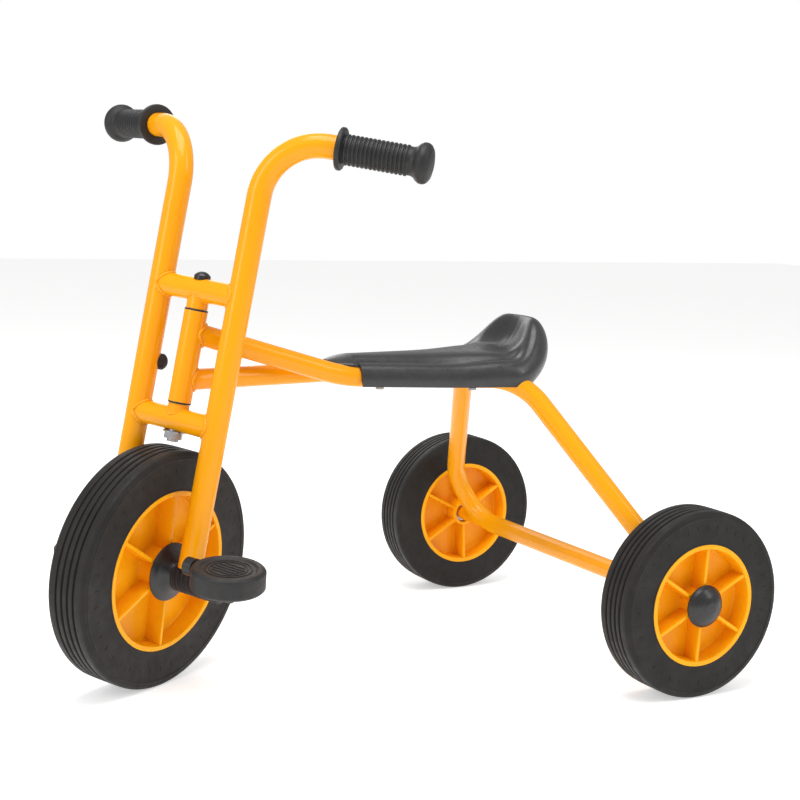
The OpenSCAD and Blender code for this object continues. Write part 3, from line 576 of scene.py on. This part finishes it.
RIBS = 6
RIB_T = 3.5
RIM_T = 5.0
WEB_T = 6.0
RIB_RECESS = 1.2
FRONT_RIB_TURN = radians(7)
REAR_RIB_TURN = radians(-3)


def make_wheel(name, rim_d, w, hub_d, bore_d, hub_recess):
    """Moulded wheel: rim, web and hub in one turned body, with ribs on both sides."""
    r, half, hub = rim_d / 2, w / 2, hub_d / 2
    web = WEB_T / 2
    draft = 1.2
    outline = [
        (r, -half), (r, half), (r - RIM_T, half), (r - RIM_T - draft, web),
        (hub + draft, web), (hub, half), (bore_d / 2 + 3, half),
        (bore_d / 2 + 3, half - hub_recess),
        (bore_d / 2, half - hub_recess), (bore_d / 2, hub_recess / 2 - half),
        (bore_d / 2 + 3, hub_recess / 2 - half), (bore_d / 2 + 3, -half), (hub, -half),
        (hub + draft, -web), (r - RIM_T - draft, -web), (r - RIM_T, -half),
    ]
    radii = [0.6, 0.6, 1.0, 2.5, 2.5, 0.8, 0.6, 0.4, 0.4, 0.4, 0.4, 0.6, 0.8, 2.5, 2.5, 1.0]
    body = turn_on_lathe(name, soften(outline, radii), 144)
    ribs = []
    inner, outer = hub - 0.6, r - RIM_T + 0.8
    for i in range(RIBS):
        ribs.append(
            bar(
                "rib", (outer - inner, RIB_T, w - 2 * RIB_RECESS), ((inner + outer) / 2, 0, 0),
                i * 2 * pi / RIBS, 0.7,
            )
        )
    return weld_to(body, [join(ribs)])


def make_wheels():
    """Tyres and wheels, each wheel with one rib where it stands."""
    front = make_tyre("front_tyre_moulded", 250, 168, 48)
    stand(front, front_place(1))
    smooth(front)
    hand_over(front, "front_wheel", "tyre_rubber", "front_tyre")
    rim = make_wheel("front_wheel_moulded", 168, 48, 44, 14, 1.0)
    stand(rim, front_place(1) @ Matrix.Rotation(FRONT_RIB_TURN, 4, "Z"))
    smooth(rim, 30)
    hand_over(rim, "front_wheel", "wheel_plastic", "front_rim")
    tyre = make_tyre("rear_tyre_moulded_left", 200, 130, 47)
    wheel = make_wheel("rear_wheel_moulded_left", 130, 47, 31, 18, 14)
    far_tyre = copy_of(tyre, "rear_tyre_moulded_right")
    far_wheel = copy_of(wheel, "rear_wheel_moulded_right")
    for side, a, b in ((1, tyre, wheel), (-1, far_tyre, far_wheel)):
        name = "left" if side > 0 else "right"
        turn = Matrix.Rotation(REAR_RIB_TURN, 4, "Z")
        stand(a, rear_place(side))
        stand(b, rear_place(side) @ turn)
        smooth(a)
        smooth(b, 30)
        hand_over(a, "rear_wheel_" + name, "tyre_rubber", "rear_tyre_" + name)
        hand_over(b, "rear_wheel_" + name, "wheel_plastic", "rear_rim_" + name)


# ------------------------------------------------------------------ hubs, caps and sleeves


SLEEVE_RINGS = 9
SLEEVE_START, SLEEVE_END = 37.4, 95.1


def make_hub_parts():
    """Domed caps on the rear hubs; trumpet flanges and ribbed sleeves on the front axle."""
    for side in (1, -1):
        name = "left" if side > 0 else "right"
        cap = turn_on_lathe(
            "hub_cap_moulded_" + name,
            soften(
                [
                    (9.5, 19), (12.0, 19), (12.0, 23.6), (21.8, 23.6), (22.5, 24.4), (22.5, 25.8),
                    (21.6, 26.6), (19.6, 29.4), (16.2, 32.2), (11.8, 34.6), (6.4, 36.1), (0, 36.5),
                    (0, 33.0), (9.5, 30.5),
                ],
                [0.4, 0.4, 0.3, 0.3, 0.4, 0.6, 0.3, 4, 4, 4, 4, 0, 0, 0.5],
            ),
            96,
        )
        stand(cap, rear_place(side))
        smooth(cap, 40)
        hand_over(cap, "rear_wheel_" + name, "black_plastic", "hub_cap_" + name)

        flange = turn_on_lathe(
            "hub_trumpet_" + name,
            soften(
                [
                    (7.0, 24.05), (30.5, 24.05), (30.5, 25.4), (27.0, 26.6), (22.6, 28.0),
                    (18.4, 30.2), (15.0, 32.8), (13.0, 35.2), (12.2, 37.0), (7.0, 37.0),
                ],
                [0.3, 0.6, 0.6, 6, 8, 8, 8, 6, 0.5, 0.3],
            ),
            96,
        )
        stand(flange, front_place(side))
        smooth(flange, 40)
        hand_over(flange, "front_wheel", "black_plastic", "hub_flange_" + name)

        pitch = (SLEEVE_END - SLEEVE_START) / SLEEVE_RINGS
        outline = [(11.0, SLEEVE_START)]
        for i in range(SLEEVE_RINGS):
            z = SLEEVE_START + i * pitch
            outline += [
                (14.4, z + 0.05 * pitch), (16.4, z + 0.18 * pitch), (16.4, z + 0.58 * pitch),
                (14.2, z + 0.72 * pitch), (14.2, z + 0.95 * pitch),
            ]
        outline += [(11.0, SLEEVE_END)]
        sleeve = turn_on_lathe("ribbed_bellows_" + name, soften(outline, 0.9, steps=3), 72)
        stand(sleeve, front_place(side))
        smooth(sleeve, 50)
        hand_over(sleeve, "fork", "soft_rubber", "ribbed_sleeve_" + name)


# ------------------------------------------------------------------ fork legs

FOOT_RISE = 10


def make_legs():
    """The fork tubes with their feet cut off square, just above the sleeves over the axle."""
    for name in ("left", "right"):
        node = frame["nodes"]["fork_tube_" + name]
        leg = copy_of(node, "leg_and_bar_" + name)
        leg.parent = None
        leg.matrix_world = Matrix.Identity(4)
        pick(leg)
        bpy.ops.object.mode_set(mode="EDIT")
        bpy.ops.mesh.select_all(action="SELECT")
        bpy.ops.mesh.remove_doubles(threshold=0.000002)
        bpy.ops.mesh.bisect(
            plane_co=FORK_FOOT + UP * FOOT_RISE * MM, plane_no=UP, use_fill=True, clear_inner=True
        )
        bpy.ops.object.mode_set(mode="OBJECT")
        bpy.ops.mesh.customdata_custom_splitnormals_clear()
        smooth(leg, 40)
        hand_over(leg, "fork", "frame_paint", "fork_tube_" + name)


# ------------------------------------------------------------------ grips

LEG_X = 52
BAR_RISE = 450.5
BAR_SWEEP = radians(21.8)
GRIP_START = 71
GRIP_RINGS = 15
RING_PITCH = 65 / GRIP_RINGS


def bar_direction(side):
    return OUT * side * cos(BAR_SWEEP) + REAR * sin(BAR_SWEEP)


def bar_corner(side):
    return FORK_FOOT + OUT * side * LEG_X * MM + UP * BAR_RISE * MM


def make_grips():
    """Grips with an inner flange, a ringed sleeve, a neck and a mushroom end."""
    pitch = RING_PITCH
    outline = [(12.6, 0), (20.5, 0), (21.5, 1.2), (21.5, 3.8), (20.5, 5.0), (15.0, 5.6)]
    radii = [0.3, 0.8, 0.8, 0.8, 0.8, 1.0]
    for i in range(GRIP_RINGS):
        z = 5.6 + i * pitch
        outline += [
            (14.2, z + 0.12 * pitch), (14.2, z + 0.34 * pitch),
            (15.5, z + 0.5 * pitch), (15.5, z + 0.9 * pitch),
        ]
        radii += [0.5] * 4
    outline += [
        (14.3, 71.2), (14.3, 75.0), (15.4, 78.2), (18.4, 81.0), (20.5, 84.4), (20.5, 88.6),
        (18.8, 91.6), (15.0, 94.2), (8.0, 95.7), (0, 96.0), (0, 80.5), (12.6, 80.5),
    ]
    radii += [1.0, 3, 5, 5, 4, 4, 4, 5, 6, 0, 0, 0.3]
    for side in (1, -1):
        name = "left" if side > 0 else "right"
        grip = turn_on_lathe("grip_moulded_" + name, soften(outline, radii, steps=3), 72)
        z = bar_direction(side)
        place = directions(UP, z.cross(UP), z, bar_corner(side) + z * GRIP_START * MM)
        stand(grip, place)
        smooth(grip, 45)
        hand_over(grip, "fork", "grip_rubber", "grip_" + name)


# ------------------------------------------------------------------ pedals

PEDAL_TILT = radians(12.8)
PEDAL_BARS_R = 15.5


def make_pedals():
    """Round pedal blocks: a rolled edge and, in each sunk face, two ridges and plain cross bars."""
    outline = [
        (0, -9.4), (26.4, -9.4), (27.2, -10.0), (28.6, -11), (33.2, -11), (36, -8.4),
        (36, 8.4), (33.2, 11), (28.6, 11), (27.2, 10.0), (26.4, 9.4), (0, 9.4),
    ]
    radii = [0, 0.4, 0.6, 1.4, 2.2, 2.4, 2.4, 2.2, 1.4, 0.6, 0.4, 0]
    for side in (1, -1):
        name = "left" if side > 0 else "right"
        block = turn_on_lathe("pedal_moulded_" + name, soften(outline, radii), 96)
        marks = []
        for face in (-1, 1):
            for inner, outer in ((21.6, 23.2), (17.4, 18.8)):
                ring = [(inner, 9.0), (inner + 0.3, 10.2), (outer - 0.3, 10.2), (outer, 9.0)]
                ring = [(x, z * face) for x, z in ring]
                marks.append(turn_on_lathe("ridge", soften(ring, 0.3, steps=2), 72))
            for y in (-10.5, -5.25, 0, 5.25, 10.5):
                length = 2 * sqrt(PEDAL_BARS_R ** 2 - y ** 2)
                marks.append(bar("cross_bar", (length, 2.2, 1.6), (0, y, face * 9.5), 0, 0.45))
        block = join([block] + marks)
        at = place_of(name + "_pedal_spin")
        z = UP * cos(PEDAL_TILT) - REAR * sin(PEDAL_TILT)
        stand(block, directions(OUT, z.cross(OUT), z, at))
        smooth(block, 35)
        hand_over(block, "pedal_" + name, "pedal_plastic", "pedal_block_" + name)


# ------------------------------------------------------------------ welds

TUBE_R = 11
LEG_R = 12.5
HEAD_R = 12
CROSS_R = 12
BOSS_R = 10.835
# Heights up the steering axis: the crossbars over the axle, the rails' ends over its foot
CROSSBARS = {"upper": 287.5, "lower": 153.5}
RAIL_ENDS = {"left": 243.75, "right": 194.25}
RAIL_NOSE = Vector((20, -39.93, 319))


def bead_route(on, axis, radius, start, way, tube_radius, count=96):
    """Where a tube of one radius meets the wall of another: a closed row of points, in metres."""
    axis, way = axis.normalized(), way.normalized()
    e1 = way.orthogonal().normalized()
    e2 = way.cross(e1)
    route = []
    for i in range(count):
        a = 2 * pi * i / count
        base = start + (e1 * cos(a) + e2 * sin(a)) * tube_radius
        off = base - on
        off -= axis * off.dot(axis)
        run = way - axis * way.dot(axis)
        qa, qb, qc = run.dot(run), 2 * off.dot(run), off.dot(off) - radius ** 2
        root = max(qb * qb - 4 * qa * qc, 0.0)
        t = (-qb + sqrt(root)) / (2 * qa)
        route.append(base + way * t)
    return route


def add_bead(name, body, route, thick, ripple=0.14, waves=26):
    """A welded bead along a closed route, a little fuller and thinner by turns."""
    curve = bpy.data.curves.new(name, "CURVE")
    curve.dimensions = "3D"
    curve.bevel_depth = thick * MM
    curve.bevel_resolution = 3
    line = curve.splines.new("POLY")
    line.points.add(len(route) - 1)
    for i, point in enumerate(route):
        line.points[i].co = (*point, 1)
        line.points[i].radius = 1 + ripple * sin(2 * pi * waves * i / len(route))
    line.use_cyclic_u = True
    bead = bpy.data.objects.new(name, curve)
    bpy.context.scene.collection.objects.link(bead)
    pick(bead)
    bpy.ops.object.convert(target="MESH")
    bead = bpy.context.object
    bead.name = bead.data.name = name
    bpy.ops.object.mode_set(mode="EDIT")
    bpy.ops.mesh.select_all(action="SELECT")
    bpy.ops.mesh.remove_doubles(threshold=0.000001)
    bpy.ops.mesh.normals_make_consistent(inside=False)
    bpy.ops.object.mode_set(mode="OBJECT")
    smooth(bead, 60)
    hand_over(bead, body, "frame_paint")
    return bead


def make_welds():
    """Beads wherever one tube is welded to another."""
    head = place_of("steering")
    for name, side in (("left", 1), ("right", -1)):
        out = OUT * side
        leg = FORK_FOOT + out * LEG_X * MM
        for bar_name, rise in CROSSBARS.items():
            centre = FORK_FOOT + UP * rise * MM
            route = bead_route(leg, UP, LEG_R * MM, centre, out, CROSS_R * MM)
            inner = [p - out * 2 * (p - leg).dot(out) for p in route]
            add_bead("bead_%s_bar_%s" % (bar_name, name), "fork", inner, 1.9)
    for name, side in (("left", 1), ("right", -1)):
        end = head + UP * RAIL_ENDS[name] * MM
        nose = Vector((side * RAIL_NOSE.x, RAIL_NOSE.y, RAIL_NOSE.z)) * MM
        route = bead_route(end, UP, HEAD_R * MM, end, nose - end, TUBE_R * MM)
        add_bead("bead_rail_" + name, "frame", route, 2.0)
    for bar_name, way in (("upper", -UP), ("lower", UP)):
        centre = FORK_FOOT + UP * CROSSBARS[bar_name] * MM
        route = bead_route(centre, OUT, CROSS_R * MM, centre, way, BOSS_R * MM)
        add_bead("bead_boss_" + bar_name, "fork", route, 1.2)


# ------------------------------------------------------------------ seat

RAIL_Z = 316
RAIL_RISE = 3
NOSE_Y, TAIL_Y = -39.93, 158.87
NOSE_HALF, TAIL_HALF = 20, 59.5
FRONT_Y, BACK_Y = -26.0, 148.07
BACK_R = 69.5
ROLL_R = 15.4
WALL = 3.2
NOSE = 25
# Where the pan starts to climb, and its height there
CLIMB_Y, PAN_LOW = -20, 22.2

# Across a side: (in from the edge, height over the rail), from the skirt's hem to the pan
SIDE = [
    (0.6, -9.4), (0.1, -5.0), (0, 0), (0.9, 5.3), (3.6, 9.9), (7.7, 13.4), (12.5, 15.2),
    (16.5, 14.8), (20.0, 12.6), (22.5, 11.2), (25.5, 13.0), (29.5, 18.4), (34.5, 23.0),
    (41.0, 25.4), (50.0, 26.4),
]
# Across the raised back, which curls over like a C
RAISED = [
    (14.0, 1.0), (9.0, 3.6), (4.2, 10.5), (1.0, 19.5), (0, 29.0), (1.0, 39.5), (4.4, 50.0),
    (9.8, 58.4), (15.8, 63.2), (21.4, 63.8), (26.0, 59.6), (29.6, 52.0), (33.4, 43.0),
    (39.6, 34.6), (48.0, 29.6),
]
# Across the tongue in front
TONGUE = [
    (0, 0), (0.1, 0.7), (0.3, 1.5), (0.8, 2.3), (1.5, 3.0), (2.5, 3.7), (3.7, 4.4), (5.0, 5.0),
    (6.6, 5.7), (8.2, 6.4), (10.2, 7.2), (12.4, 8.0), (15.0, 8.8), (18.0, 9.5), (21.5, 10.0),
]


def mix(a, b, t):
    return a + (b - a) * t


def ease(t):
    t = min(1, max(0, t))
    return t * t * (3 - 2 * t)


def rail_x(y):
    return mix(NOSE_HALF, TAIL_HALF, (y - NOSE_Y) / (TAIL_Y - NOSE_Y))


def edge_x(y):
    return rail_x(y) + ROLL_R + 2.8 * ease((y - BACK_Y + 70) / 65)


def rail_h(y):
    return RAIL_Z + RAIL_RISE * (1 - (y - NOSE_Y) / (TAIL_Y - NOSE_Y))


def pan_h(y):
    """Height of the pan's middle over the rail: it climbs a little towards the back."""
    if y > CLIMB_Y:
        return mix(PAN_LOW, 25.8, (y - CLIMB_Y) / 131)
    return PAN_LOW - 6.0 * ((CLIMB_Y - y) / 31) ** 2.2


def seat_row(kind, t):
    """One row of the seat's skin: points across from the hem to the middle line, in millimetres."""
    if kind == "tongue":
        y = FRONT_Y - 0.4 - NOSE * (1 - t)
        half = (rail_x(FRONT_Y) + 5.0) * (0.36 + 0.64 * sin(radians(90 * t)) ** 0.6)
        hem, top = mix(12.4, 10.6, t), pan_h(y)
        row = []
        for d, z in TONGUE:
            rise = (top - hem) * z / TONGUE[-1][1]
            row.append(Vector((half * (1 - 0.9 * d / TONGUE[-1][0]), y, rail_h(y) + hem + rise)))
        row.append(Vector((0, y, rail_h(y) + top)))
        return row
    if kind == "side":
        y = mix(FRONT_Y, BACK_Y, t)
        base, up = rail_h(y), 0.14 * ease((t - 0.55) / 0.45)
        edge, middle = Vector((edge_x(y), y)), Vector((0, y))
    else:
        y = BACK_Y
        base, up = rail_h(BACK_Y), 0.14 + 0.86 * ease((t + 2) / 62)
        edge = Vector((edge_x(BACK_Y) * cos(radians(t)), BACK_Y + BACK_R * sin(radians(t))))
        middle = Vector((0, BACK_Y + 20 * t / 90))
    full = (middle - edge).length
    inward = (middle - edge).normalized()
    squeeze = min(1, (0.9 * full - SIDE[6][0]) / (SIDE[-1][0] - SIDE[6][0]))
    pan = pan_h(y)
    row = []
    for n, ((a, za), (b, zb)) in enumerate(zip(SIDE, RAISED)):
        if n > 6:
            a = SIDE[6][0] + (a - SIDE[6][0]) * squeeze
        if n > 9:
            za = SIDE[9][1] + (za - SIDE[9][1]) * (pan - SIDE[9][1]) / (SIDE[-1][1] - SIDE[9][1])
        d = min(mix(a, b * min(1, 0.95 * full / RAISED[-1][0]), up), full * 0.95)
        place = edge + inward * d
        row.append(Vector((place.x, place.y, base + mix(za, zb, up))))
    row.append(Vector((middle.x, middle.y, base + pan)))
    return row


def make_seat():
    """Half the skin is a grid shaped row by row, then mirrored, given its wall and subdivided."""
    rows = [seat_row("tongue", t) for t in (0, 0.04, 0.14, 0.32, 0.6, 0.85, 1.0)]
    side = (0.0, 0.012, 0.05, 0.13, 0.24, 0.36, 0.48, 0.58, 0.67, 0.75, 0.82, 0.89, 0.95)
    rows += [seat_row("side", t) for t in side]
    rows += [seat_row("back", t) for t in (0, 6, 12, 19, 26, 34, 42, 50, 58, 66, 74, 82, 90)]
    across = len(rows[0])
    deselect()
    bpy.ops.mesh.primitive_grid_add(x_subdivisions=len(rows) - 1, y_subdivisions=across - 1, size=1)
    seat = bpy.context.object
    seat.name = seat.data.name = "seat_moulded"
    knots = sorted(seat.data.vertices, key=lambda v: (round(v.co.x, 5), round(v.co.y, 5)))
    for n, knot in enumerate(knots):
        knot.co = rows[n // across][n % across] * MM
    mirror = seat.modifiers.new("other_half", "MIRROR")
    mirror.merge_threshold = 0.0001
    mirror.use_clip = True
    apply_all(seat)
    bpy.ops.object.mode_set(mode="EDIT")
    bpy.ops.mesh.select_all(action="SELECT")
    bpy.ops.mesh.remove_doubles(threshold=0.00005)
    bpy.ops.mesh.normals_make_consistent(inside=False)
    bpy.ops.object.mode_set(mode="OBJECT")
    top = max(seat.data.polygons, key=lambda p: p.area)
    if top.normal.z < 0 and abs(top.normal.z) > 0.5:
        bpy.ops.object.mode_set(mode="EDIT")
        bpy.ops.mesh.select_all(action="SELECT")
        bpy.ops.mesh.flip_normals()
        bpy.ops.object.mode_set(mode="OBJECT")
    wall = seat.modifiers.new("wall", "SOLIDIFY")
    wall.thickness = WALL * MM
    wall.offset = -1
    edge = seat.modifiers.new("edge", "BEVEL")
    edge.width = 0.8 * MM
    edge.segments = 2
    edge.limit_method = "ANGLE"
    edge.angle_limit = radians(55)
    fine = seat.modifiers.new("fine", "SUBSURF")
    fine.levels = fine.render_levels = 2
    apply_all(seat)
    smooth(seat, 50)
    hand_over(seat, "frame", "seat_plastic", "seat")


# ------------------------------------------------------------------ build

deselect()
add_camera()
add_floor()
add_studio()
dress_frame()
make_wheels()
make_hub_parts()
make_legs()
make_grips()
make_pedals()
make_welds()
make_seat()
